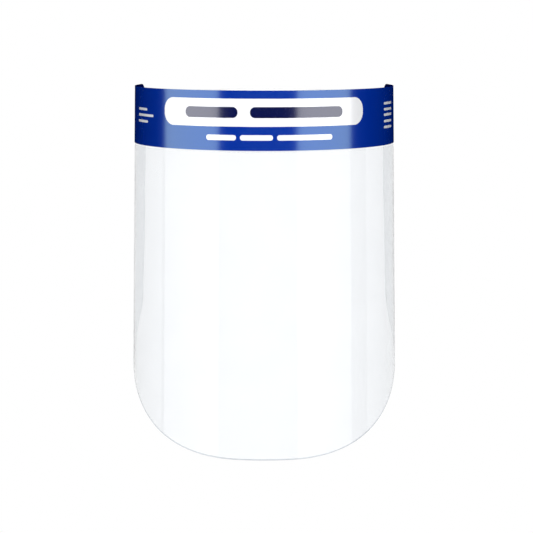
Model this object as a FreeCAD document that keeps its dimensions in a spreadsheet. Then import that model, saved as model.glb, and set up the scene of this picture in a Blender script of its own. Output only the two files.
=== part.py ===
"""Disposable face shield: a bent clear sheet with a header band, a foam bar and an elastic strap.

The origin is the middle of the foam's inner face, where the forehead rests.
The front of the shield faces -Y, +X is to the right and +Z is up.  Millimetres.
"""

import FreeCAD
import Part
import Sketcher
import math
import os

SIZES = [
    ("sheet_width", 320.0),
    ("sheet_height", 220.0),
    ("film_thickness", 0.3),
    ("radius_top", 80.5),
    ("radius_bottom", 84.7),
    ("wall_turn", 98.0),
    ("top_corner_radius", 12.0),
    ("outline_flat", 13.0),
    ("outline_radius", 134.0),
    ("layer_gap", 0.02),
    ("band_height", 35.0),
    ("band_thickness", 0.15),
    ("peel_thickness", 0.1),
    ("peel_inset", 0.4),
    ("peel_top_gap", 1.0),
    ("foam_length", 210.0),
    ("foam_height", 31.0),
    ("foam_thickness", 25.0),
    ("tape_length", 200.0),
    ("tape_height", 28.0),
    ("tape_thickness", 0.5),
    ("rivet_inset", 12.0),
    ("cap_diameter", 9.0),
    ("cap_height", 1.8),
    ("cap_edge", 0.8),
    ("post_diameter", 3.4),
    ("post_hole_diameter", 4.6),
    ("post_clearance", 0.08),
    ("tail_diameter", 5.6),
    ("tail_thickness", 0.6),
    ("spacer_diameter", 8.0),
    ("spacer_thickness", 1.1),
    ("backing_diameter", 8.5),
    ("backing_thickness", 0.6),
    ("strap_width", 20.0),
    ("strap_thickness", 1.2),
    ("strap_gap", 0.45),
    ("strap_wall_gap", 0.4),
    ("strap_tab", 8.0),
    ("strap_bend_start", 108.0),
    ("strap_split_gap", 0.3),
]

# how far a cutting outline reaches past the edge that it trims
CUT_MARGIN = 20.0

Z_AXIS = FreeCAD.Vector(0, 0, 1)

document = FreeCAD.newDocument("face_shield")
sheet = document.addObject("Spreadsheet::Sheet", "sizes")
for row, (alias, value) in enumerate(SIZES, start=1):
    sheet.set(f"A{row}", alias)
    sheet.set(f"B{row}", str(value))
    sheet.setAlias(f"B{row}", alias)
document.recompute()


class Size:
    """A length worked out from the sheet, kept both as a number and as the expression for it."""

    def __init__(self, number, text):
        self.number = number
        self.text = text

    def joined(self, sign, other, number):
        return Size(number, f"({self.text} {sign} {other.text})")

    def __add__(self, other):
        other = as_size(other)
        return self.joined("+", other, self.number + other.number)

    def __sub__(self, other):
        other = as_size(other)
        return self.joined("-", other, self.number - other.number)

    def __mul__(self, other):
        other = as_size(other)
        return self.joined("*", other, self.number * other.number)

    def __truediv__(self, other):
        other = as_size(other)
        return self.joined("/", other, self.number / other.number)

    def __neg__(self):
        return self * -1


def as_size(value):
    """A plain number as a size."""
    return value if isinstance(value, Size) else Size(value, f"({value})")


def size(alias):
    """The size that the sheet holds under an alias."""
    return Size(float(sheet.get(alias)), f"<<sizes>>.{alias}")


FILM = size("film_thickness")
GAP = size("layer_gap")
BAND = size("band_thickness")
STRAP = size("strap_thickness")
ZERO = Size(0.0, "0")

# the sheet turns this far each side of its middle line before its walls run straight
WALL_TURN = size("wall_turn")
TURN_RADIANS = WALL_TURN * math.radians(1)
TURN_SINE = Size(math.sin(TURN_RADIANS.number), f"sin({WALL_TURN.text} * 1 deg)")
TURN_COSINE = Size(math.cos(TURN_RADIANS.number), f"cos({WALL_TURN.text} * 1 deg)")

HALF_WIDTH = size("sheet_width") / 2
TOP = size("band_height") / 2
BOTTOM = TOP - size("sheet_height")
FRONT = -(size("foam_thickness") + size("tape_thickness") + FILM + GAP * 2)


def radius_at(depth):
    """Outer radius of the bent sheet, a depth below its top edge."""
    spread = size("radius_bottom") - size("radius_top")
    return size("radius_top") + spread * depth / size("sheet_height")


def wall_point(along, depth):
    """Place on the right wall's outer face, a distance along the sheet from its middle line."""
    radius = radius_at(depth)
    straight = along - radius * TURN_RADIANS
    x = radius * TURN_SINE + straight * TURN_COSINE
    y = FRONT + radius - radius * TURN_COSINE + straight * TURN_SINE
    return x, y


RIVET_X, RIVET_Y = wall_point(HALF_WIDTH - size("rivet_inset"), TOP)
REAR_X, REAR_Y = wall_point(HALF_WIDTH, ZERO)

# inwards from the side wall, square to X: spacer washer, strap, backing washer, rivet tail
WALL_TILT = math.radians(WALL_TURN.number - 90)
WASHER_RISE = size("spacer_diameter") / 2 * math.tan(WALL_TILT) + GAP * 2
SPACER_X = RIVET_X - FILM - WASHER_RISE - size("spacer_thickness")
STRAP_X = REAR_X - FILM - size("strap_wall_gap")
STRAP_INNER_X = STRAP_X - STRAP
BACKING_X = STRAP_INNER_X - size("strap_gap") - size("backing_thickness")
TAIL_X = BACKING_X - size("tail_thickness") - GAP


def vector(x, y):
    return FreeCAD.Vector(x, y, 0)


def new_body(label):
    """A body named for its piece, placed at the part's origin."""
    body = document.addObject("PartDesign::Body", label)
    body.Label = label
    body.Placement = FreeCAD.Placement()
    return body


def new_sketch(body, name, plane_role):
    """A sketch on one of the body's own origin planes."""
    plane = next(f for f in body.Origin.OriginFeatures if f.Role == plane_role)
    sketch = body.newObject("Sketcher::SketchObject", name)
    sketch.AttachmentSupport = [(plane, "")]
    sketch.MapMode = "FlatFace"
    return sketch


def tie(sketch, kind, *where):
    """Add a constraint that has no value."""
    sketch.addConstraint(Sketcher.Constraint(kind, *where))


def drive(sketch, name, value, kind, *where):
    """Add a named constraint whose value follows a size."""
    index = sketch.addConstraint(Sketcher.Constraint(kind, *where, value.number))
    sketch.renameConstraint(index, name)
    sketch.setExpression(f"Constraints.{name}", value.text)


def drive_angle(sketch, name, degrees, line):
    """Add a named constraint for the way that a line points."""
    index = sketch.addConstraint(
        Sketcher.Constraint("Angle", line, math.radians(degrees.number))
    )
    sketch.renameConstraint(index, name)
    sketch.setExpression(f"Constraints.{name}", f"{degrees.text} * 1 deg")


def add_arc(sketch, centre, radius, first_degrees, last_degrees):
    circle = Part.Circle(centre, Z_AXIS, radius)
    ends = (math.radians(first_degrees), math.radians(last_degrees))
    return sketch.addGeometry(Part.ArcOfCircle(circle, *ends), False)


def add_lines(sketch, *corners):
    """Add straight edges from each corner to the next and join them."""
    numbers = [
        sketch.addGeometry(Part.LineSegment(*pair), False) for pair in zip(corners, corners[1:])
    ]
    for first, second in zip(numbers, numbers[1:]):
        tie(sketch, "Coincident", first, 2, second, 1)
    return numbers


def add_arc_pair(sketch, depth, outer, inner, turn_degrees):
    """Two arcs about the bent sheet's centre, opening to the back: outer is 0, inner is 1."""
    radius = radius_at(depth)
    centre = FRONT + radius
    for arc_radius in (outer, inner):
        middle = vector(0, centre.number)
        add_arc(sketch, middle, arc_radius.number, -90 - turn_degrees, -90 + turn_degrees)
    tie(sketch, "Coincident", 0, 3, 1, 3)
    tie(sketch, "PointOnObject", 0, 3, -2)
    drive(sketch, "centre_y", centre, "DistanceY", -1, 1, 0, 3)
    drive(sketch, "outer_radius", outer, "Radius", 0)
    drive(sketch, "inner_radius", inner, "Radius", 1)
    sketch.setExpression("AttachmentOffset.Base.z", (TOP - depth).text)


def wall_section(body, name, depth, stand_off, thickness, inset):
    """Closed outline of a bent skin: two arcs that run on into straight side walls.

    stand_off is how far the skin's outer face lies outside the sheet's outer face, and inset is
    how far the skin stops short of the sheet's rear edges.
    """
    sketch = new_sketch(body, name, "XY_Plane")
    radius = radius_at(depth)
    outer = radius + stand_off
    inner = outer - thickness
    straight = HALF_WIDTH - inset - radius * TURN_RADIANS
    add_arc_pair(sketch, depth, outer, inner, WALL_TURN.number)
    sine, cosine = TURN_SINE.number, TURN_COSINE.number
    for side in (1, -1):
        run = vector(side * cosine, sine) * straight.number
        starts = [
            vector(side * face.number * sine, (FRONT + radius).number - face.number * cosine)
            for face in (outer, inner)
        ]
        add_lines(sketch, starts[0], starts[0] + run, starts[1] + run, starts[1])
    # 2, 3 and 4 are the right wall's outer face, rear end and inner face; 5, 6 and 7 the left's
    for arc_end, first in ((2, 2), (1, 5)):
        tie(sketch, "Tangent", 0, arc_end, first, 1)
        tie(sketch, "Tangent", 1, arc_end, first + 2, 2)
        tie(sketch, "Perpendicular", first, first + 1)
        tie(sketch, "Parallel", first, first + 2)
    tie(sketch, "Symmetric", 2, 2, 5, 2, -2)
    drive_angle(sketch, "wall_turn", WALL_TURN, 2)
    drive(sketch, "wall_length", straight, "Distance", 2)
    return sketch


def bar_section(body, name, depth, stand_off, thickness, length):
    """Closed outline of a bar bent round the inside of the sheet: two arcs and square ends."""
    sketch = new_sketch(body, name, "XY_Plane")
    radius = radius_at(depth)
    outer = radius + stand_off
    inner = outer - thickness
    turn = length / 2 / radius / math.radians(1)
    add_arc_pair(sketch, depth, outer, inner, turn.number)
    centre = vector(0, (FRONT + radius).number)
    quarter = Size(90.0, "90")
    ends = ((2, "right_end", turn - quarter), (1, "left_end", -quarter - turn))
    for arc_end, name_of_end, way in ends:
        angle = math.radians(way.number)
        outwards = vector(math.cos(angle), math.sin(angle))
        corners = [centre + outwards * face.number for face in (inner, outer)]
        (line,) = add_lines(sketch, *corners)
        tie(sketch, "Coincident", 1, arc_end, line, 1)
        tie(sketch, "Coincident", 0, arc_end, line, 2)
        tie(sketch, "PointOnObject", 0, 3, line)
        drive_angle(sketch, name_of_end, way, line)
    return sketch


def ruled_loft(body, upper, lower):
    """Fill the space between an upper and a lower outline with straight-sided faces."""
    loft = body.newObject("PartDesign::AdditiveLoft", f"{body.Name}_loft")
    loft.Profile = upper
    loft.Sections = [lower]
    loft.Ruled = True
    document.recompute()


def cut_through(body, sketch, name):
    """Cut a sketch's area right through the body, both ways, and prove that it cut."""
    before = body.Shape.Volume
    pocket = body.newObject("PartDesign::Pocket", name)
    pocket.Profile = sketch
    pocket.Type = "ThroughAll"
    pocket.Midplane = True
    document.recompute()
    if not body.Shape.Volume < before:
        raise RuntimeError(f"{name} cut nothing from {body.Label}")


def cut_bottom_outline(body, inset):
    """Shape the lower edge: flat in front, then one large arc that rises to each rear edge.

    Each half is cut level, square to the way its own front quarter runs, where the bent sheet
    never doubles back, so the lower edge of the flat sheet comes out as one clean curve.
    """
    base = BOTTOM + inset
    radius = size("outline_radius") - inset
    flat = size("outline_flat")
    reach = flat + radius
    top = base + radius
    for side, turn in (("right", 45), ("left", 135)):
        sketch = new_sketch(body, f"{body.Name}_outline_{side}", "XZ_Plane")
        sketch.AttachmentOffset = FreeCAD.Placement(
            vector(0, 0), FreeCAD.Rotation(FreeCAD.Vector(0, 1, 0), turn)
        )
        sketch.setExpression("AttachmentOffset.Base.z", (-FRONT).text)
        centre = vector(flat.number, top.number)
        past = reach + CUT_MARGIN
        below = base - CUT_MARGIN
        arc = add_arc(sketch, centre, radius.number, -90, 0)
        lines = add_lines(
            sketch,
            vector(reach.number, top.number),
            vector(past.number, top.number),
            vector(past.number, below.number),
            vector(0, below.number),
            vector(0, base.number),
            vector(flat.number, base.number),
        )
        tie(sketch, "Coincident", arc, 2, lines[0], 1)
        tie(sketch, "Tangent", lines[4], 2, arc, 1)
        for line in (lines[0], lines[2], lines[4]):
            tie(sketch, "Horizontal", line)
        tie(sketch, "Vertical", lines[1])
        tie(sketch, "PointOnObject", lines[2], 2, -2)
        tie(sketch, "PointOnObject", lines[3], 2, -2)
        tie(sketch, "Horizontal", arc, 3, arc, 2)
        drive(sketch, "curve_radius", radius, "Radius", arc)
        drive(sketch, "curve_centre", flat, "DistanceX", -1, 1, arc, 3)
        drive(sketch, "lower_edge", base, "DistanceY", -1, 1, lines[3], 2)
        drive(sketch, "far_side", past, "DistanceX", -1, 1, lines[1], 2)
        drive(sketch, "far_below", below, "DistanceY", -1, 1, lines[2], 2)
        cut_through(body, sketch, f"{body.Name}_outline_cut_{side}")


def round_top_corners(body):
    """Round both top rear corners of the sheet, or of what lies on it."""
    radius = size("top_corner_radius")
    sketch = new_sketch(body, f"{body.Name}_corner", "YZ_Plane")
    centre_y = REAR_Y - radius
    centre_z = TOP - radius
    past = REAR_Y + CUT_MARGIN
    above = TOP + CUT_MARGIN
    arc = add_arc(sketch, vector(centre_y.number, centre_z.number), radius.number, 0, 90)
    lines = add_lines(
        sketch,
        vector(centre_y.number, TOP.number),
        vector(centre_y.number, above.number),
        vector(past.number, above.number),
        vector(past.number, centre_z.number),
        vector(REAR_Y.number, centre_z.number),
    )
    tie(sketch, "Coincident", arc, 2, lines[0], 1)
    tie(sketch, "Coincident", lines[3], 2, arc, 1)
    for line in (lines[0], lines[2]):
        tie(sketch, "Vertical", line)
    for line in (lines[1], lines[3]):
        tie(sketch, "Horizontal", line)
    tie(sketch, "Horizontal", arc, 3, arc, 1)
    tie(sketch, "Vertical", arc, 3, arc, 2)
    drive(sketch, "corner_radius", radius, "Radius", arc)
    drive(sketch, "centre_y", centre_y, "DistanceX", -1, 1, arc, 3)
    drive(sketch, "centre_z", centre_z, "DistanceY", -1, 1, arc, 3)
    drive(sketch, "far_behind", past, "DistanceX", -1, 1, lines[2], 1)
    drive(sketch, "far_above", above, "DistanceY", -1, 1, lines[1], 1)
    cut_through(body, sketch, f"{body.Name}_corner_cut")


def drill_rivet_holes(body):
    """Drill both rivet holes, which lie on one level line across the shield."""
    sketch = new_sketch(body, f"{body.Name}_hole", "YZ_Plane")
    diameter = size("post_hole_diameter")
    circle = Part.Circle(vector(RIVET_Y.number, 0), Z_AXIS, diameter.number / 2)
    hole = sketch.addGeometry(circle, False)
    tie(sketch, "PointOnObject", hole, 3, -1)
    drive(sketch, "hole_y", RIVET_Y, "DistanceX", -1, 1, hole, 3)
    drive(sketch, "hole_diameter", diameter, "Diameter", hole)
    cut_through(body, sketch, f"{body.Name}_hole_cut")


def make_skin(label, top_depth, bottom_depth, stand_off, thickness, inset=ZERO):
    """A thin layer that follows the bent sheet between two depths below its top edge."""
    body = new_body(label)
    upper = wall_section(body, f"{label}_top", top_depth, stand_off, thickness, inset)
    lower = wall_section(body, f"{label}_bottom", bottom_depth, stand_off, thickness, inset)
    ruled_loft(body, upper, lower)
    return body


def make_visor():
    """The clear sheet itself."""
    body = make_skin("visor", ZERO, size("sheet_height"), ZERO, FILM)
    cut_bottom_outline(body, ZERO)
    round_top_corners(body)
    drill_rivet_holes(body)
    return body


def make_header_band():
    """The header on the outside of the sheet, along its top edge."""
    body = make_skin("header_band", ZERO, size("band_height"), GAP + BAND, BAND)
    round_top_corners(body)
    drill_rivet_holes(body)
    return body


def make_peel_film(label, stand_off):
    """A thin peel film over the clear part of the sheet, a little inside its cut edges."""
    inset = size("peel_inset")
    body = make_skin(
        label,
        size("band_height") + size("peel_top_gap"),
        size("sheet_height"),
        stand_off,
        size("peel_thickness"),
        inset,
    )
    cut_bottom_outline(body, inset)
    return body


def make_bar(label, height, length, stand_off, thickness):
    """A strip of foam or tape inside the sheet, level with the middle of the header band."""
    body = new_body(label)
    depths = (TOP - height / 2, TOP + height / 2)
    sections = [
        bar_section(body, f"{label}_{name}", depth, stand_off, thickness, length)
        for name, depth in zip(("top", "bottom"), depths)
    ]
    ruled_loft(body, *sections)
    return body


def bound(kind, name, **values):
    """A Part object whose sizes follow the sheet."""
    item = document.addObject(kind, name)
    for key, value in values.items():
        item.setExpression(key, value.text)
    return item


def move(piece, **places):
    """Place a piece by sizes from the sheet."""
    for axis, value in places.items():
        piece.setExpression(f"Placement.Base.{axis}", value.text)


def point_outwards(piece, side, x, tilt=0.0):
    """Put a round piece on a rivet's line, with its Z axis pointing out through the side wall."""
    direction = FreeCAD.Vector(side * math.cos(tilt), math.sin(tilt), 0)
    piece.Placement = FreeCAD.Placement(vector(0, 0), FreeCAD.Rotation(Z_AXIS, direction))
    move(piece, x=x * side, y=RIVET_Y)


def cut(label, base, tool):
    """The named piece that is left when a tool is cut from a base."""
    piece = document.addObject("Part::Cut", label)
    piece.Label = label
    piece.Base = base
    piece.Tool = tool
    return piece


def make_rivet_cap(label, side):
    """Rivet head: a disc with a rounded rim, square to the wall, on top of the header band."""
    disc = bound(
        "Part::Cylinder",
        f"{label}_disc",
        Radius=size("cap_diameter") / 2,
        Height=size("cap_height"),
    )
    document.recompute()
    edges = disc.Shape.Edges
    rim = max(range(len(edges)), key=lambda number: edges[number].BoundBox.ZMin)
    edge_radius = size("cap_edge").number
    piece = document.addObject("Part::Fillet", label)
    piece.Label = label
    piece.Base = disc
    piece.Edges = [(rim + 1, edge_radius, edge_radius)]
    # the wall leans out towards its lower edge, so the head stands clear of it by that much
    lean = (size("radius_bottom") - size("radius_top")) / size("sheet_height")
    lift = GAP * 2 + BAND + lean * size("cap_diameter") / 2
    point_outwards(piece, side, RIVET_X + lift / math.cos(WALL_TILT), WALL_TILT)
    return piece


def make_washer(label, side, inner_x, diameter, thickness):
    """A flat washer round the rivet's shank, square to X."""
    disc = bound("Part::Cylinder", f"{label}_disc", Radius=diameter / 2, Height=thickness)
    bore_radius = size("post_diameter") / 2 + GAP
    bore = bound("Part::Cylinder", f"{label}_bore", Radius=bore_radius, Height=thickness)
    piece = cut(label, disc, bore)
    point_outwards(piece, side, inner_x)
    return piece


def make_rivet_post(label, side):
    """Rivet shank with its flared tail, from inside the strap out into the rivet's head."""
    length = RIVET_X + size("cap_height") / 2 - TAIL_X
    shank_radius = size("post_diameter") / 2
    shank = bound("Part::Cylinder", f"{label}_shank", Radius=shank_radius, Height=length)
    tail = bound(
        "Part::Cylinder",
        f"{label}_tail",
        Radius=size("tail_diameter") / 2,
        Height=size("tail_thickness"),
    )
    piece = document.addObject("Part::Fuse", label)
    piece.Label = label
    piece.Base = shank
    piece.Tool = tail
    point_outwards(piece, side, TAIL_X)
    return piece


def make_strap_run(label, side):
    """A side run of the strap: flat elastic from its tab at the rivet to the start of the bend."""
    tab = size("strap_tab")
    web = bound(
        "Part::Box",
        f"{label}_web",
        Length=STRAP,
        Width=size("strap_bend_start") - RIVET_Y + tab,
        Height=size("strap_width"),
    )
    left_x = STRAP_INNER_X if side > 0 else -STRAP_X
    move(web, x=left_x, y=RIVET_Y - tab, z=-(size("strap_width") / 2))
    hole_radius = size("post_diameter") / 2 + size("post_clearance")
    hole = bound("Part::Cylinder", f"{label}_hole", Radius=hole_radius, Height=STRAP * 3)
    point_outwards(hole, side, STRAP_INNER_X - STRAP)
    return cut(label, web, hole)


def make_strap_back(label):
    """The strap's half round behind the head."""
    height = size("strap_width")
    half_turn = Size(180.0, "180 deg")
    rounds = [
        bound("Part::Cylinder", f"{label}_{name}", Radius=radius, Height=height, Angle=half_turn)
        for name, radius in (("outer", STRAP_X), ("inner", STRAP_INNER_X))
    ]
    piece = cut(label, *rounds)
    start = size("strap_bend_start") + size("strap_split_gap")
    move(piece, y=start, z=-(height / 2))
    return piece


inside_sheet = -(FILM + GAP)
inside_tape = inside_sheet - size("tape_thickness") - GAP
pieces = [
    make_visor(),
    make_header_band(),
    make_peel_film("protective_film_outer", GAP + size("peel_thickness")),
    make_peel_film("protective_film_inner", inside_sheet),
    make_bar(
        "foam_tape",
        size("tape_height"),
        size("tape_length"),
        inside_sheet,
        size("tape_thickness"),
    ),
    make_bar(
        "forehead_foam",
        size("foam_height"),
        size("foam_length"),
        inside_tape,
        size("foam_thickness"),
    ),
    make_strap_back("strap_back_run"),
]
spacer = (SPACER_X, size("spacer_diameter"), size("spacer_thickness"))
backing = (BACKING_X, size("backing_diameter"), size("backing_thickness"))
for side_name, side in (("right", 1), ("left", -1)):
    pieces += [
        make_rivet_cap(f"rivet_cap_{side_name}", side),
        make_rivet_post(f"rivet_post_{side_name}", side),
        make_washer(f"spacer_washer_{side_name}", side, *spacer),
        make_washer(f"backing_washer_{side_name}", side, *backing),
        make_strap_run(f"strap_{side_name}_run", side),
    ]

document.recompute()
for item in document.Objects:
    if "Invalid" in item.State or "Error" in item.State:
        raise RuntimeError(f"{item.Label} failed: {item.State}")
for item in document.findObjects("Sketcher::SketchObject"):
    free = item.solve()
    if free or not item.FullyConstrained:
        raise RuntimeError(f"{item.Label} isn't fully constrained")
for piece in pieces:
    shape = piece.Shape
    if shape.isNull() or not shape.isValid() or len(shape.Solids) != 1:
        raise RuntimeError(f"{piece.Label} isn't one valid solid")

os.makedirs("parts", exist_ok=True)
for piece in pieces:
    piece.Shape.exportStep(f"parts/{piece.Label}.step")
    box = piece.Shape.BoundBox
    print(
        f"{piece.Label}: x {box.XMin:.2f} {box.XMax:.2f}  y {box.YMin:.2f} {box.YMax:.2f}"
        f"  z {box.ZMin:.2f} {box.ZMax:.2f}  volume {piece.Shape.Volume:.1f}"
    )
print(f"rivets at x {RIVET_X.number:.3f}, y {RIVET_Y.number:.3f}")
print(f"the strap's outer face is at x {STRAP_X.number:.3f}")
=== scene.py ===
import math

import bmesh
import bpy
from mathutils import Matrix, Vector, noise


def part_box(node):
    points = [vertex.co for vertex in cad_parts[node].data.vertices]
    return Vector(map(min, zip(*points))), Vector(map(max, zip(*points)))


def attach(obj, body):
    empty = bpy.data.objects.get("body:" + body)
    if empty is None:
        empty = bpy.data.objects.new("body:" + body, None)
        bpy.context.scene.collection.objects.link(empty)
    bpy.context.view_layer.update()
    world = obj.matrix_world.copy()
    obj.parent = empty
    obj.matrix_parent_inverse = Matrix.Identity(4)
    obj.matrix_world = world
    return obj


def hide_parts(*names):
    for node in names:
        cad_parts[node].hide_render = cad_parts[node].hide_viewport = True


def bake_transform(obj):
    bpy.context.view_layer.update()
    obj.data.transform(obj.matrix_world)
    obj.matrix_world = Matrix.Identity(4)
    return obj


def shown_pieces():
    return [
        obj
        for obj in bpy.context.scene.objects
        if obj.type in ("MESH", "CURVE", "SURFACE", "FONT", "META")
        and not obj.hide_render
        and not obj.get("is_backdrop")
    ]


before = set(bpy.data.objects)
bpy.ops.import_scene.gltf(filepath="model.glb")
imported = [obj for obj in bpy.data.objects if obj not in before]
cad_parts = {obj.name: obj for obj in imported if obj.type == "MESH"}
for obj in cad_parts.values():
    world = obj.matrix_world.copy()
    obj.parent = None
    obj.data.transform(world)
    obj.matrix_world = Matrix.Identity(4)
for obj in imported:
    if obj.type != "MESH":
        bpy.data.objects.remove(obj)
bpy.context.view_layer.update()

MM = 0.001

# ---- Driving sizes, in metres, on the frame's own boxes ----------------------------------

VISOR_LOW, VISOR_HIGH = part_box("visor")
BAND_LOW, BAND_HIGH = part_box("header_band")
FOAM_LOW, FOAM_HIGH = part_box("forehead_foam")
FRONT = VISOR_LOW.y
TOP = VISOR_HIGH.z
SHEET_HEIGHT = VISOR_HIGH.z - VISOR_LOW.z
HALF_SHEET = 160 * MM
FILM_THICKNESS = 0.3 * MM
RADIUS_TOP = 80.5 * MM
RADIUS_BOTTOM = 84.7 * MM
WALL_TURN = math.radians(98)
OUTLINE_FLAT = 13 * MM
OUTLINE_RADIUS = 134 * MM
CORNER_RADIUS = 12 * MM
GAP = 0.02 * MM
BAND_THICKNESS = 0.15 * MM
BAND_HEIGHT = BAND_HIGH.z - BAND_LOW.z
BAND_FACE = GAP + BAND_THICKNESS
INK = 0.03 * MM
CUT_MARGIN = 0.7 * MM
PEEL_THICKNESS = 0.1 * MM
PEEL_INSET = 0.4 * MM
PEEL_START = BAND_HEIGHT + 1 * MM
RIVET_INSET = 12 * MM
SHEET_HOLE = 4.6 * MM
HEAD_RADIUS = 4.5 * MM
TAPE_HALF = 100 * MM
TAPE_THICKNESS = 0.5 * MM
TAPE_FACE = -FILM_THICKNESS - GAP
FOAM_HALF = 105 * MM
FOAM_FACE = TAPE_FACE - TAPE_THICKNESS - GAP
FOAM_THICKNESS = 25 * MM
FOAM_EDGE = 2.2 * MM
FOAM_SAW = 0.35 * MM
FOAM_BUCKLE = 1.1 * MM
FOAM_CROWN = 0.9 * MM
RIVET_HEIGHT = (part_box("rivet_post_left")[0].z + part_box("rivet_post_left")[1].z) / 2
RIVET_DEPTH = (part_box("spacer_washer_left")[0].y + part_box("spacer_washer_left")[1].y) / 2
STRAP_LOW, STRAP_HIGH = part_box("strap_right_run")
STRAP_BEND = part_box("strap_back_run")[0].y
STRAP_THICKNESS = STRAP_HIGH.x - STRAP_LOW.x
STRAP_MIDDLE = (STRAP_HIGH.x + STRAP_LOW.x) / 2
STRAP_HALF_WIDTH = STRAP_HIGH.z
STRAP_RIB = 2.0 * MM
STRAP_STITCH = 0.55 * MM
STRAP_SELVEDGE = 0.5 * MM
STRAP_SCALLOP = 0.12 * MM
STRAP_SCALLOP_STEP = 2.2 * MM
STRAP_HOLE = 3.56 * MM


# ---- The shape that the flat sheet takes when it is worn ---------------------------------


def bent(along, depth, out):
    """Where a point of the flat pattern lies: along the sheet, below its top edge, out of its face."""
    radius = RADIUS_TOP + (RADIUS_BOTTOM - RADIUS_TOP) * depth / SHEET_HEIGHT
    turn = min(abs(along) / radius, WALL_TURN)
    run = abs(along) - radius * turn
    x = (radius + out) * math.sin(turn) + run * math.cos(turn)
    y = FRONT + radius - (radius + out) * math.cos(turn) + run * math.sin(turn)
    return Vector((math.copysign(x, along), y, TOP - depth))


REAR = bent(HALF_SHEET, 0, 0).y


def lower_edge(along, inset):
    """Depth of the sheet's cut lower edge: flat in the middle, then one large arc up each side."""
    radius = OUTLINE_RADIUS - inset
    depth = SHEET_HEIGHT - inset
    for _ in range(5):
        place = bent(along, depth, 0)
        past = max((abs(place.x) + place.y - FRONT) / math.sqrt(2) - OUTLINE_FLAT, 0)
        depth = SHEET_HEIGHT - inset - radius + math.sqrt(radius**2 - past**2)
    return depth


def upper_edge(along, start, inset):
    """Depth of the upper edge, with the small round corner at each rear end."""
    radius = CORNER_RADIUS - inset
    past = max(bent(along, start, 0).y - REAR + CORNER_RADIUS, 0)
    corner = CORNER_RADIUS - math.sqrt(max(radius**2 - past**2, 0))
    return max(start + inset, corner)


# ---- Mesh tools --------------------------------------------------------------------------


def whole(bm):
    """All of a bmesh's geometry, as its operators take it."""
    return bm.verts[:] + bm.edges[:] + bm.faces[:]


def keep_flat_map(bm):
    """Stores each corner's flat place, in metres, as the piece's UV map."""
    layer = bm.loops.layers.uv.new("flat")
    for face in bm.faces:
        for loop in face.loops:
            loop[layer].uv = loop.vert.co.xy


def thicken(bm, thickness):
    """Gives a flat pattern its thickness, inwards from its outer face."""
    made = bmesh.ops.extrude_face_region(bm, geom=bm.faces[:], use_keep_orig=True)
    moved = [item for item in made["geom"] if isinstance(item, bmesh.types.BMVert)]
    bmesh.ops.translate(bm, verts=moved, vec=(0, 0, -thickness))
    bmesh.ops.recalc_face_normals(bm, faces=bm.faces[:])


def bend(bm, out):
    """Wraps a flat pattern, x along and y upwards from the top edge, to its place on the shield."""
    for vert in bm.verts:
        vert.co = bent(vert.co.x, -vert.co.y, out + vert.co.z)
    bmesh.ops.recalc_face_normals(bm, faces=bm.faces[:])


def piece(bm, name, materials, sharp=35):
    """Turns a bmesh into a smooth-shaded object whose edges stay crisp."""
    mesh = bpy.data.meshes.new(name)
    bm.to_mesh(mesh)
    bm.free()
    made = bpy.data.objects.new(name, mesh)
    bpy.context.scene.collection.objects.link(made)
    for material in materials:
        mesh.materials.append(material)
    crisp(mesh, sharp)
    return made


def crisp(mesh, sharp=35):
    """Smooth shading, with every edge above that angle in degrees kept sharp."""
    mesh.shade_smooth()
    mesh.set_sharp_from_angle(angle=math.radians(sharp))


def drill(made, diameter):
    """Cuts the two rivet holes through a piece, along X."""
    bm = bmesh.new()
    turn = Matrix.Rotation(math.radians(90), 4, "Y")
    for side in (-1, 1):
        place = Matrix.Translation((side * STRAP_MIDDLE, RIVET_DEPTH, RIVET_HEIGHT))
        bmesh.ops.create_cone(
            bm, cap_ends=True, segments=40, radius1=diameter / 2, radius2=diameter / 2,
            depth=20 * MM, matrix=place @ turn)
    cutter = piece(bm, "cutter", [])
    cut = made.modifiers.new("rivet holes", "BOOLEAN")
    cut.object = cutter
    cut.solver = "EXACT"
    graph = bpy.context.evaluated_depsgraph_get()
    mesh = bpy.data.meshes.new_from_object(made.evaluated_get(graph), depsgraph=graph)
    made.modifiers.clear()
    made.data = mesh
    mesh.name = made.name
    bpy.data.objects.remove(cutter)
    crisp(mesh)


# ---- Materials ---------------------------------------------------------------------------


def colour(code):
    """An sRGB hex colour as linear RGBA."""
    parts = [int(code[at:at + 2], 16) / 255 for at in (1, 3, 5)]
    linear = [c / 12.92 if c <= 0.04045 else ((c + 0.055) / 1.055) ** 2.4 for c in parts]
    return (*linear, 1)


def add(tree, kind, sockets=None, **settings):
    """Adds a node; a socket given another node's output is linked, any other value is set."""
    made = tree.nodes.new(kind)
    for name, value in settings.items():
        setattr(made, name, value)
    for name, value in (sockets or {}).items():
        if isinstance(value, bpy.types.NodeSocket):
            tree.links.new(value, made.inputs[name])
        else:
            made.inputs[name].default_value = value
    return made


def surface(name, sockets):
    """A new material of one Principled shader; returns the material, its tree and the shader."""
    material = bpy.data.materials.new(name)
    material.use_nodes = True
    tree = material.node_tree
    tree.nodes.clear()
    shader = add(tree, "ShaderNodeBsdfPrincipled", sockets)
    add(tree, "ShaderNodeOutputMaterial", {"Surface": shader.outputs[0]})
    return material, tree, shader


def mixed(tree, factor, first, second):
    """A colour between two hex colours, by a factor."""
    made = add(
        tree, "ShaderNodeMix", {0: factor, 6: colour(first), 7: colour(second)}, data_type="RGBA")
    return made.outputs[2]


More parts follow.
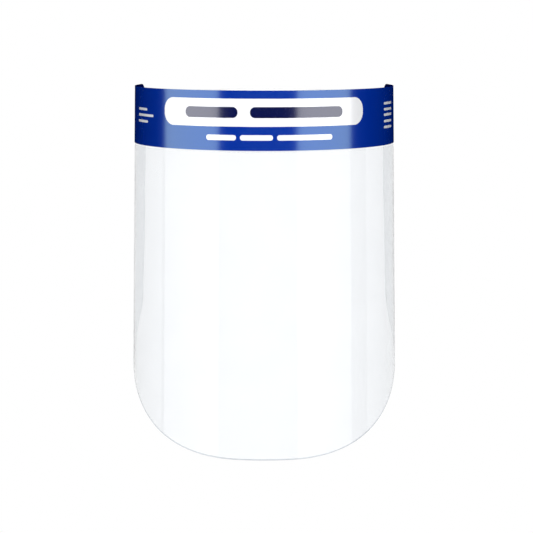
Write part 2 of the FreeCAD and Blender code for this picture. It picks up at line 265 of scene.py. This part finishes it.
def clear_sheet():
    """Extruded PET sheet: glass-clear, with the faint long waves that extrusion leaves."""
    material, tree, shader = surface("clear PET sheet", {
        "Base Color": colour("#F7F9FB"), "Roughness": 0.03, "IOR": 1.5,
        "Transmission Weight": 1.0})
    place = add(tree, "ShaderNodeUVMap", uv_map="flat").outputs[0]
    waves = add(tree, "ShaderNodeTexNoise", {
        "Vector": place, "Scale": 1 / (35 * MM), "Detail": 1.0}).outputs[0]
    bump = add(tree, "ShaderNodeBump", {
        "Height": waves, "Strength": 1.0, "Distance": 0.05 * MM}).outputs[0]
    tree.links.new(bump, shader.inputs["Normal"])
    return material


def painted_edge_line():
    """Die-cut PET edge: a hair-line, slightly frosted margin, tinted grey as a painted dark line."""
    material, tree, shader = surface("PET sheet edge with painted dark line", {
        "Roughness": 0.12, "IOR": 1.57, "Transmission Weight": 1.0})
    place = add(tree, "ShaderNodeUVMap", uv_map="flat").outputs[0]
    edge_shade_mottle = add(tree, "ShaderNodeTexNoise", {
        "Vector": place, "Scale": 1 / (1.5 * MM), "Detail": 2.0}).outputs[0]
    # Painted shade: the grey tint draws a dark line along the cut edge, mottled at random.
    tree.links.new(mixed(tree, edge_shade_mottle, "#C4CAD0", "#D6DBE0"), shader.inputs["Base Color"])
    return material


def peel_film():
    """Protective polyethylene film: thin, milky, slightly mottled where it clings."""
    material, tree, shader = surface("milky polyethylene peel film", {
        "Roughness": 0.4, "IOR": 1.51, "Alpha": 0.08})
    place = add(tree, "ShaderNodeUVMap", uv_map="flat").outputs[0]
    mottle = add(tree, "ShaderNodeTexNoise", {
        "Vector": place, "Scale": 1 / (22 * MM), "Detail": 3.0}).outputs[0]
    tree.links.new(mixed(tree, mottle, "#E4E6EA", "#F6F7F9"), shader.inputs["Base Color"])
    return material


def printed_film(name, shade, deep, roughness=0.17, ior=1.9, level=1.0, tint="#FFFFFF"):
    """Ink on film: an even colour with fine mottle, and a skin that ripples slightly.

    As it comes it lies under a high-gloss varnish, which mirrors more than bare film does."""
    material, tree, shader = surface(name, {
        "Roughness": roughness, "IOR": ior, "Specular IOR Level": level,
        "Specular Tint": colour(tint)})
    place = add(tree, "ShaderNodeUVMap", uv_map="flat").outputs[0]
    mottle = add(tree, "ShaderNodeTexNoise", {
        "Vector": place, "Scale": 1 / (1.2 * MM), "Detail": 4.0, "Roughness": 0.6}).outputs[0]
    tree.links.new(mixed(tree, mottle, shade, deep), shader.inputs["Base Color"])
    ripple = add(tree, "ShaderNodeTexNoise", {
        "Vector": place, "Scale": 1 / (14 * MM), "Detail": 2.0}).outputs[0]
    bump = add(tree, "ShaderNodeBump", {
        "Height": ripple, "Strength": 1.0, "Distance": 0.02 * MM}).outputs[0]
    tree.links.new(bump, shader.inputs["Normal"])
    return material


def adhesive_tape():
    """Double-sided acrylic foam tape: dull, warm white, with fine closed cells at its cut edge."""
    material, tree, shader = surface("double-sided acrylic foam tape", {
        "Roughness": 0.55, "IOR": 1.47})
    place = add(tree, "ShaderNodeTexCoord").outputs["Object"]
    cells = add(tree, "ShaderNodeTexVoronoi", {"Vector": place, "Scale": 1 / (0.5 * MM)}).outputs[0]
    # Painted shade: darker in the hollows of the cells, where the bump sinks.
    tree.links.new(mixed(tree, cells, "#D9D4C6", "#EDE9DE"), shader.inputs["Base Color"])
    bump = add(tree, "ShaderNodeBump", {
        "Height": cells, "Strength": 0.5, "Distance": 0.05 * MM}).outputs[0]
    tree.links.new(bump, shader.inputs["Normal"])
    return material


def open_cell_foam():
    """Sawn polyurethane foam: matt, off-white, pitted with open cells of about a millimetre."""
    material, tree, shader = surface("open-cell polyurethane foam", {
        "Roughness": 0.95, "IOR": 1.45, "Specular IOR Level": 0.2, "Sheen Weight": 0.15,
        "Sheen Roughness": 0.6})
    place = add(tree, "ShaderNodeTexCoord").outputs["Object"]
    cells = add(tree, "ShaderNodeTexVoronoi", {
        "Vector": place, "Scale": 1 / (1.1 * MM), "Randomness": 1.0}).outputs[0]
    fine = add(tree, "ShaderNodeTexNoise", {
        "Vector": place, "Scale": 1 / (0.5 * MM), "Detail": 3.0}).outputs[0]
    height = add(tree, "ShaderNodeMath", {0: cells, 1: fine}, operation="MULTIPLY").outputs[0]
    # Painted shade: the foam is darker in the pits, the hollows of the bump.
    pit_shade = add(tree, "ShaderNodeMapRange", {0: cells, 1: 0.15, 2: 0.75}).outputs[0]
    tree.links.new(mixed(tree, pit_shade, "#D3CEC0", "#F8F6EF"), shader.inputs["Base Color"])
    bump = add(tree, "ShaderNodeBump", {
        "Height": height, "Strength": 0.8, "Distance": 0.5 * MM}).outputs[0]
    tree.links.new(bump, shader.inputs["Normal"])
    return material


def knitted_elastic():
    """Warp-knitted elastic: soft white ribs of small slanted stitches, a little fuzzy."""
    material, tree, shader = surface("knitted polyester elastic", {
        "Roughness": 0.8, "IOR": 1.5, "Specular IOR Level": 0.3, "Sheen Weight": 0.2,
        "Sheen Roughness": 0.5})
    flat = add(tree, "ShaderNodeUVMap", uv_map="flat").outputs[0]
    split = add(tree, "ShaderNodeSeparateXYZ", {0: flat}).outputs
    across = add(
        tree, "ShaderNodeMath", {0: split[1], 1: STRAP_RIB}, operation="PINGPONG").outputs[0]
    slant = add(tree, "ShaderNodeMath", {
        0: across, 1: 0.9, 2: split[0]}, operation="MULTIPLY_ADD").outputs[0]
    stitch = add(
        tree, "ShaderNodeMath", {0: slant, 1: STRAP_STITCH}, operation="PINGPONG").outputs[0]
    height = add(
        tree, "ShaderNodeMath", {0: stitch, 1: STRAP_STITCH}, operation="DIVIDE").outputs[0]
    crest = add(
        tree, "ShaderNodeMath", {0: split[1], 1: STRAP_RIB / 2}, operation="PINGPONG").outputs[0]
    # Painted shade: darker in the grooves between ribs and in each stitch's low part.
    groove_shade = add(tree, "ShaderNodeMath", {
        0: crest, 1: 1.4 / STRAP_RIB, 2: height}, operation="MULTIPLY_ADD").outputs[0]
    shade = add(tree, "ShaderNodeMapRange", {0: groove_shade, 1: 0.0, 2: 1.2}).outputs[0]
    tree.links.new(mixed(tree, shade, "#C6C6C4", "#F8F8F6"), shader.inputs["Base Color"])
    fuzz = add(tree, "ShaderNodeTexNoise", {
        "Vector": flat, "Scale": 1 / (0.35 * MM), "Detail": 3.0}).outputs[0]
    total = add(tree, "ShaderNodeMath", {0: height, 1: fuzz}, operation="ADD").outputs[0]
    bump = add(tree, "ShaderNodeBump", {
        "Height": total, "Strength": 0.5, "Distance": 0.2 * MM}).outputs[0]
    tree.links.new(bump, shader.inputs["Normal"])
    return material


def moulded_nylon(name, light, shadow, roughness):
    """Injection-moulded nylon: satin white with the faint grain of a sparked mould."""
    material, tree, shader = surface(name, {
        "Roughness": roughness, "IOR": 1.53, "Subsurface Weight": 0.1,
        "Subsurface Radius": (1.0, 0.8, 0.6), "Subsurface Scale": 0.6 * MM})
    place = add(tree, "ShaderNodeTexCoord").outputs["Object"]
    grain = add(tree, "ShaderNodeTexNoise", {
        "Vector": place, "Scale": 1 / (0.25 * MM), "Detail": 3.0}).outputs[0]
    tree.links.new(mixed(tree, grain, shadow, light), shader.inputs["Base Color"])
    bump = add(tree, "ShaderNodeBump", {
        "Height": grain, "Strength": 0.4, "Distance": 0.02 * MM}).outputs[0]
    tree.links.new(bump, shader.inputs["Normal"])
    return material


PET = clear_sheet()
PET_EDGE_SHADE = painted_edge_line()
PEEL = peel_film()
BLUE = printed_film("blue printed film", "#002D9B", "#002A90", tint="#C4F0FF")
# Painted shade: the band's blue darkened to navy, without gloss, also on the visor behind it.
SHADED_UNDERSIDE = printed_film(
    "underside of printed film in painted navy shade", "#030D4A", "#030B40", roughness=0.3, ior=1.5, level=0.0)
WHITE_INK = printed_film("white screen ink", "#F7F8FA", "#F2F3F6")
NAVY_INK = printed_film("navy screen ink", "#040E46", "#030B3E")
TAPE = adhesive_tape()
FOAM = open_cell_foam()
ELASTIC = knitted_elastic()
NYLON = moulded_nylon("moulded white nylon", "#F4F3EF", "#E9E8E3", 0.32)
WASHER_NYLON = moulded_nylon("natural nylon", "#E6E4DC", "#DAD8CF", 0.45)


# ---- Sheets cut from flat patterns and bent ----------------------------------------------


def cut_sheet(columns, rows, start, inset, end=None):
    """A flat pattern from the start depth to the cut lower edge, or to a straight end depth.

    Its columns draw together towards the rear ends, where the corners turn, and its outermost
    row and column all round are the narrow margin beside the cut."""
    bm = bmesh.new()
    bmesh.ops.create_grid(bm, x_segments=columns, y_segments=rows, size=1)
    last_column, last_row = 1 - 2 / columns, 1 - 2 / rows
    for vert in bm.verts:
        across, up = vert.co.x, vert.co.y
        along = (HALF_SHEET - inset - CUT_MARGIN) * math.sin(math.pi / 2 * across / last_column)
        if abs(across) > last_column + 1e-4:
            along = math.copysign(HALF_SHEET - inset, across)
        top = upper_edge(along, start, CUT_MARGIN)
        low = end - CUT_MARGIN if end else lower_edge(along, inset + CUT_MARGIN)
        depth = low + (top - low) * (up / last_row + 1) / 2
        if abs(up) > last_row + 1e-4:
            cut = end if end else lower_edge(along, inset)
            depth = upper_edge(along, start, 0) if up > 0 else cut
        vert.co = Vector((along, -depth, 0))
    return bm


def mark_visor(bm):
    """Gives the margin beside the cut the second material, and all behind the band the third."""
    for face in bm.faces:
        middle = face.calc_center_median()
        near_side = abs(middle.x) > HALF_SHEET - CUT_MARGIN
        near_low = -middle.y > lower_edge(middle.x, CUT_MARGIN)
        if -middle.y < BAND_HEIGHT:
            face.material_index = 2
        elif near_side or near_low:
            face.material_index = 1


def clear_visor():
    """The clear sheet; behind the band it takes the painted navy shade in place of clear sheet."""
    bm = cut_sheet(160, 64, 0, 0)
    bmesh.ops.bisect_plane(
        bm, geom=whole(bm), plane_co=(0, -BAND_HEIGHT, 0), plane_no=(0, 1, 0))
    thicken(bm, FILM_THICKNESS)
    mark_visor(bm)
    keep_flat_map(bm)
    bend(bm, 0)
    made = piece(bm, "clear_visor_sheet", [PET, PET_EDGE_SHADE, SHADED_UNDERSIDE])
    drill(made, SHEET_HOLE)
    made.visible_shadow = False
    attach(made, "shield")
    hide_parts("visor")


def peel_films():
    """The two protective films, a little smaller than the sheet, that start below the band."""
    for side, out in (("outer", GAP + PEEL_THICKNESS), ("inner", TAPE_FACE)):
        bm = cut_sheet(160, 56, PEEL_START, PEEL_INSET)
        thicken(bm, PEEL_THICKNESS)
        keep_flat_map(bm)
        bend(bm, out)
        made = piece(bm, "peel_film_" + side, [PEEL])
        made.visible_shadow = False
        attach(made, "shield")
        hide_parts("protective_film_" + side)


def header():
    """The printed band: blue outside; inside, the print's blue darkened to navy as painted shade."""
    bm = cut_sheet(160, 14, 0, 0, end=BAND_HEIGHT)
    thicken(bm, BAND_THICKNESS)
    for face in bm.faces:
        face.material_index = 1 if face.calc_center_median().z < -BAND_THICKNESS / 4 else 0
    keep_flat_map(bm)
    bend(bm, BAND_FACE)
    made = piece(bm, "header_printed_band", [BLUE, SHADED_UNDERSIDE])
    drill(made, SHEET_HOLE)
    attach(made, "shield")
    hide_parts("header_band")


def bar(name, ink, centre, length, height, corner, out):
    """A printed bar with round corners, centred at (along, depth) on the flat band."""
    bm = bmesh.new()
    half_step = Matrix.Rotation(math.pi / 32, 4, "Z")
    bmesh.ops.create_circle(bm, cap_ends=True, segments=32, radius=corner, matrix=half_step)
    for vert in bm.verts:
        vert.co.x += math.copysign(length / 2 - corner, vert.co.x) + centre[0]
        vert.co.y += math.copysign(height / 2 - corner, vert.co.y) - centre[1]
    strips = max(int(length / (2.5 * MM)), 1)
    for at in range(1, strips):
        bmesh.ops.bisect_plane(
            bm, geom=whole(bm), plane_no=(1, 0, 0),
            plane_co=(centre[0] + length * (at / strips - 0.5), 0, 0))
    thicken(bm, INK)
    keep_flat_map(bm)
    bend(bm, out + INK)
    made = piece(bm, name, [ink])
    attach(made, "shield")


def header_print():
    """Plain bars and dashes in place of wording, and the white panel; rows are in millimetres."""
    bar("print_panel_white", WHITE_INK,
        (-0.25 * MM, 12.85 * MM), 131.5 * MM, 16.3 * MM, 7.4 * MM, BAND_FACE)
    title = ((-32.2, 33.6), (20.4, 57.2))
    for at, (middle, length) in enumerate(title, 1):
        bar(f"print_title_bar_{at}", NAVY_INK,
            (middle * MM, 12.75 * MM), length * MM, 6.4 * MM, 3.1 * MM, BAND_FACE + INK)
    subtitle = ((-25.6, 18.4), (-4.4, 19.3), (24.7, 34.2))
    for at, (middle, length) in enumerate(subtitle, 1):
        bar(f"print_subtitle_bar_{at}", WHITE_INK,
            (middle * MM, 27.4 * MM), length * MM, 3.2 * MM, 1.5 * MM, BAND_FACE)
    left_dashes = ((-92.7, 13, 14.2), (-88.8, 16.6, 22), (-92.2, 20.3, 15.2))
    for at, (middle, depth, length) in enumerate(left_dashes, 1):
        bar(f"print_left_dash_{at}", WHITE_INK,
            (middle * MM, depth * MM), length * MM, 1.5 * MM, 0.7 * MM, BAND_FACE)
    right_dashes = (9.6, 13.2, 16.5, 20.4, 24)
    for at, depth in enumerate(right_dashes, 1):
        bar(f"print_right_dash_{at}", WHITE_INK,
            (97.5 * MM, depth * MM), 15 * MM, 1.5 * MM, 0.7 * MM, BAND_FACE)


def tape():
    """The strip of double-sided tape that holds the foam to the sheet."""
    bm = bmesh.new()
    bmesh.ops.create_grid(bm, x_segments=80, y_segments=8, size=1)
    low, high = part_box("foam_tape")
    for vert in bm.verts:
        up = (high.z + low.z) / 2 - TOP + vert.co.y * (high.z - low.z) / 2
        vert.co = Vector((vert.co.x * TAPE_HALF, up, 0))
    thicken(bm, TAPE_THICKNESS)
    keep_flat_map(bm)
    bend(bm, TAPE_FACE)
    made = piece(bm, "mounting_tape", [TAPE])
    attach(made, "shield")
    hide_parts("foam_tape")


# ---- Foam bar ----------------------------------------------------------------------------


def slice_along(bm, axis, low, high, count):
    """Cuts a solid into even slices, so that it can bend."""
    normal = Vector((0, 0, 0))
    normal[axis] = 1
    for at in range(1, count):
        place = normal * (low + (high - low) * at / count)
        bmesh.ops.bisect_plane(bm, geom=whole(bm), plane_co=place, plane_no=normal)


def foam_bar():
    """A sawn bar of foam: square ends, edges worn round, inner face buckled by the bend."""
    height = FOAM_HIGH.z - FOAM_LOW.z
    bm = bmesh.new()
    size = Matrix.Diagonal((2 * FOAM_HALF, height, FOAM_THICKNESS, 1))
    bmesh.ops.create_cube(bm, size=1, matrix=size)
    bmesh.ops.bevel(
        bm, geom=bm.edges[:], offset=FOAM_EDGE, offset_type="OFFSET", segments=4, profile=0.5,
        affect="EDGES", material=-1)
    slice_along(bm, 0, -FOAM_HALF, FOAM_HALF, 110)
    slice_along(bm, 1, -height / 2, height / 2, 14)
    slice_along(bm, 2, -FOAM_THICKNESS / 2, FOAM_THICKNESS / 2, 10)
    middle = (FOAM_HIGH.z + FOAM_LOW.z) / 2 - TOP
    for vert in bm.verts:
        inward = 0.5 - vert.co.z / FOAM_THICKNESS
        across = 2 * vert.co.y / height
        saw = noise.noise(vert.co / (7 * MM)) * FOAM_SAW
        fold = Vector((vert.co.x / (5 * MM), 3, vert.co.y / (60 * MM)))
        buckle = noise.noise(fold) * FOAM_BUCKLE
        hollow = FOAM_CROWN * across ** 2
        vert.co.z += (saw - buckle * (1 - abs(across) ** 6) + hollow) * inward ** 2
        vert.co.y += (saw + buckle * 0.5) * inward * across
        vert.co.y += middle
        vert.co.z -= FOAM_THICKNESS / 2
    keep_flat_map(bm)
    bend(bm, FOAM_FACE)
    made = piece(bm, "forehead_foam_bar", [FOAM], 60)
    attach(made, "shield")
    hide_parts("forehead_foam")


# ---- Elastic strap -----------------------------------------------------------------------


def round_the_head(along, across, out):
    """Where a point of the flat strap lies: two side runs joined by a half circle at the back."""
    quarter = STRAP_MIDDLE * math.pi / 2
    turn = min(abs(along), quarter) / STRAP_MIDDLE
    run = max(abs(along) - quarter, 0)
    x = (STRAP_MIDDLE + out) * math.sin(turn)
    y = STRAP_BEND + (STRAP_MIDDLE + out) * math.cos(turn) - run
    return Vector((math.copysign(x, along), y, across))


def strap():
    """One ribbon of knitted elastic, ribbed on both faces and thinner at its two selvedges."""
    half_length = STRAP_MIDDLE * math.pi / 2 + STRAP_BEND - STRAP_LOW.y
    bm = bmesh.new()
    bmesh.ops.create_grid(bm, x_segments=220, y_segments=50, size=1)
    for vert in bm.verts:
        vert.co = Vector((vert.co.x * half_length, vert.co.y * STRAP_HALF_WIDTH, 0))
    thicken(bm, STRAP_THICKNESS)
    keep_flat_map(bm)
    for vert in bm.verts:
        rib = abs(math.sin(math.pi * vert.co.y / STRAP_RIB))
        selvedge = 0.62 if abs(vert.co.y) > STRAP_HALF_WIDTH - STRAP_SELVEDGE else 1.0
        side = 1 if vert.co.z > -STRAP_THICKNESS / 2 else -1
        out = side * STRAP_THICKNESS / 2 * (0.66 + 0.34 * rib) * selvedge
        scallop = math.sin(2 * math.pi * vert.co.x / STRAP_SCALLOP_STEP) * STRAP_SCALLOP
        fringe = (vert.co.y / STRAP_HALF_WIDTH) ** 8
        across = vert.co.y + math.copysign(scallop, vert.co.y) * fringe
        vert.co = round_the_head(vert.co.x, across, out)
    bmesh.ops.recalc_face_normals(bm, faces=bm.faces[:])
    made = piece(bm, "elastic_strap", [ELASTIC])
    drill(made, STRAP_HOLE)
    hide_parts("strap_left_run", "strap_right_run", "strap_back_run")
    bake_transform(made)


# ---- Rivets and washers ------------------------------------------------------------------


def turned(name, profile, place, material, node):
    """A round piece: the profile, (radius, height) in millimetres, spun about its axis."""
    bm = bmesh.new()
    points = [bm.verts.new((radius * MM, 0, height * MM)) for radius, height in profile]
    edges = [bm.edges.new(pair) for pair in zip(points, points[1:])]
    bmesh.ops.spin(
        bm, geom=points + edges, cent=(0, 0, 0), axis=(0, 0, 1), angle=2 * math.pi, steps=56,
        use_merge=True)
    bmesh.ops.remove_doubles(bm, verts=bm.verts[:], dist=0.001 * MM)
    bmesh.ops.recalc_face_normals(bm, faces=bm.faces[:])
    bmesh.ops.transform(bm, matrix=place, verts=bm.verts[:])
    bmesh.ops.recalc_face_normals(bm, faces=bm.faces[:])
    made = piece(bm, name, [material], 40)
    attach(made, "shield")
    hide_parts(node)


def arc(centre, radius, start, end, steps):
    """Points of a profile's round stretch; angles in degrees from straight outwards."""
    turns = [math.radians(start + (end - start) * at / steps) for at in range(steps + 1)]
    return [(centre[0] + radius * math.cos(a), centre[1] + radius * math.sin(a)) for a in turns]


def rivets():
    """A domed head outside, washers each side of the strap and a flared tail on the inside."""
    cap = [(0, 0), (3.9, 0), *arc((4.2, 0.3), 0.3, -90, 0, 4), *arc((4.1, 0.55), 0.4, 0, 60, 4),
           (3.4, 1.22), (2.4, 1.58), (1.2, 1.77), (0, 1.8)]
    lean = (RADIUS_BOTTOM - RADIUS_TOP) / SHEET_HEIGHT
    lift = GAP * 2 + BAND_THICKNESS + lean * HEAD_RADIUS
    for name, side in (("left", -1), ("right", 1)):
        wall = bent(side * (HALF_SHEET - RIVET_INSET), TOP - RIVET_HEIGHT, lift)
        facing = Vector((math.sin(WALL_TURN) * side, -math.cos(WALL_TURN), 0))
        tilt = facing.to_track_quat("Z", "Y").to_matrix().to_4x4()
        turned("rivet_head_" + name, cap, Matrix.Translation(wall) @ tilt, NYLON,
               "rivet_cap_" + name)
        outwards = Matrix.Rotation(math.radians(90 * side), 4, "Y")
        for kind, inner, outer in (("spacer", 1.9, 3.7), ("backing", 1.9, 3.95)):
            low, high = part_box(f"{kind}_washer_{name}")
            inside = Vector((low.x if side > 0 else high.x, RIVET_DEPTH, RIVET_HEIGHT))
            tall = (high.x - low.x) / MM
            ring = [(inner, 0), (outer, 0), *arc((outer, tall / 2), tall / 2, -90, 90, 8)[1:],
                    (inner, tall), (inner, 0)]
            turned(f"{kind}_ring_{name}", ring, Matrix.Translation(inside) @ outwards,
                   WASHER_NYLON, f"{kind}_washer_{name}")
        low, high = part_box("rivet_post_" + name)
        inside = Vector((low.x if side > 0 else high.x, RIVET_DEPTH, RIVET_HEIGHT))
        tall = (high.x - low.x) / MM
        shank = [(0, 0.25), (0.6, 0.12), (1.4, 0.02), *arc((2.5, 0.3), 0.3, -90, 90, 6),
                 (1.75, 0.62), (1.7, 0.75), (1.7, tall), (0, tall)]
        turned("rivet_shank_" + name, shank, Matrix.Translation(inside) @ outwards, NYLON,
               "rivet_post_" + name)


# ---- Stage, light and camera -------------------------------------------------------------

FLOOR = VISOR_LOW.z - 47 * MM
FLOOR_HALF = 60
ROOM_LIGHT = 0.12
ROOM_REFLECTED = 0.015
PANEL_DISTANCE = 1.2
PANEL_HEIGHT = 2.4
LENS = 113.9
CAMERA_PITCH = math.radians(8.34)
CAMERA_SIDE = 1.45 * MM
CAMERA_DISTANCE = 980 * MM
CAMERA_RISE = 40.8 * MM


def pale_floor():
    """A plain white floor, a little under the shield, that glows enough to stay pale."""
    bm = bmesh.new()
    bmesh.ops.create_grid(bm, x_segments=1, y_segments=1, size=FLOOR_HALF)
    bmesh.ops.translate(bm, verts=bm.verts[:], vec=(0, 0, FLOOR))
    material = surface("pale floor", {
        "Base Color": colour("#000000"), "Roughness": 0.9, "Specular IOR Level": 0.0,
        "Emission Color": colour("#FFFFFF"), "Emission Strength": 1.0})[0]
    material.cycles.emission_sampling = "NONE"
    made = piece(bm, "floor", [material])
    made.visible_glossy = False
    made.visible_diffuse = False
    made.visible_shadow = False
    made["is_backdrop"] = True


def studio_world():
    """White where it is seen or seen through; a dim room where it is reflected or lights."""
    world = bpy.data.worlds.new("studio")
    bpy.context.scene.world = world
    world.use_nodes = True
    tree = world.node_tree
    tree.nodes.clear()
    path = add(tree, "ShaderNodeLightPath").outputs
    seen = add(tree, "ShaderNodeMath", {
        0: path["Is Camera Ray"], 1: path["Is Transmission Ray"]}, operation="MAXIMUM").outputs[0]
    white = add(tree, "ShaderNodeBackground", {"Color": colour("#FFFFFF")}).outputs[0]
    level = add(tree, "ShaderNodeMapRange", {
        0: path["Is Glossy Ray"], 3: ROOM_LIGHT, 4: ROOM_REFLECTED}).outputs[0]
    room = add(tree, "ShaderNodeBackground", {"Strength": level}).outputs[0]
    mix = add(tree, "ShaderNodeMixShader", {0: seen, 1: room, 2: white}).outputs[0]
    add(tree, "ShaderNodeOutputWorld", {"Surface": mix})


def softbox(name, place, target, width, height, radiance, reflected=True, diffuse=True, only=None):
    """A glowing panel at a place, turned to a target; it may light only some pieces.

    A panel that is only there to be reflected is left out of the sampling of lights."""
    bm = bmesh.new()
    bmesh.ops.create_grid(bm, x_segments=1, y_segments=1, size=0.5)
    facing = (Vector(target) - Vector(place)).to_track_quat("Z", "Y").to_matrix().to_4x4()
    size = Matrix.Diagonal((width, height, 1, 1))
    bmesh.ops.transform(bm, matrix=Matrix.Translation(place) @ facing @ size, verts=bm.verts[:])
    material = surface("softbox " + name, {
        "Base Color": colour("#000000"), "Specular IOR Level": 0.0,
        "Emission Color": colour("#FFFFFF"), "Emission Strength": radiance})[0]
    if not diffuse:
        material.cycles.emission_sampling = "NONE"
    made = piece(bm, "softbox_" + name, [material])
    made.visible_camera = False
    made.visible_transmission = False
    made.visible_shadow = False
    made.visible_glossy = reflected
    made.visible_diffuse = diffuse
    made.light_linking.receiver_collection = only
    made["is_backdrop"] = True


def beside(degrees, distance):
    """A place on the floor plan, by its angle from straight ahead of the shield."""
    angle = math.radians(degrees)
    return Vector((math.sin(angle), -math.cos(angle), 0)) * distance


def lights():
    """Two tall panels that the gloss shows as strips, two more that only the clear pieces
    show, and soft light from the front, above and behind."""
    clear = bpy.data.collections.new("clear pieces")
    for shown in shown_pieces():
        if shown.name == "clear_visor_sheet" or shown.name.startswith("peel_film"):
            clear.objects.link(shown)
    panels = (
        ("left_strip", -40, -96, 1.5, None), ("right_strip", 29, 81, 1.5, None),
        ("left_surround", -100, -178, 0.95, clear), ("right_surround", 100, 178, 0.95, clear))
    for name, near, far, radiance, lit in panels:
        first, last = beside(near, PANEL_DISTANCE), beside(far, PANEL_DISTANCE)
        softbox(name, (first + last) / 2, (0, 0, 0), (first - last).length, PANEL_HEIGHT,
                radiance, diffuse=False, only=lit)
    softbox("front", (0, -2.0, 0.5), (0, 0, -0.05), 2.0, 1.2, 8.9, reflected=False)
    softbox("above", (0, 0.1, 1.8), (0, 0, 0), 1.6, 1.6, 2.8, reflected=False)
    softbox("behind", (0, 2.0, 0.8), (0, 0, -0.05), 1.6, 1.4, 3.2, reflected=False)
    for side in (-1, 1):
        place = beside(side * 128, 1.9) + Vector((0, 0, 0.4))
        softbox("rear_side", place, (0, 0, 0), 1.2, 1.4, 1.6, reflected=False)


def camera():
    """A long lens straight ahead of the shield, a little above it and looking slightly down."""
    data = bpy.data.cameras.new("camera")
    data.sensor_width = 36
    data.lens = LENS
    made = bpy.data.objects.new("camera", data)
    bpy.context.scene.collection.objects.link(made)
    made.location = (CAMERA_SIDE, FRONT - CAMERA_DISTANCE, TOP + CAMERA_RISE)
    made.rotation_euler = (math.radians(90) - CAMERA_PITCH, 0, 0)
    bpy.context.scene.camera = made


clear_visor()
peel_films()
header()
header_print()
tape()
foam_bar()
strap()
rivets()
pale_floor()
studio_world()
lights()
camera()
bpy.context.scene.view_settings.view_transform = "Standard"
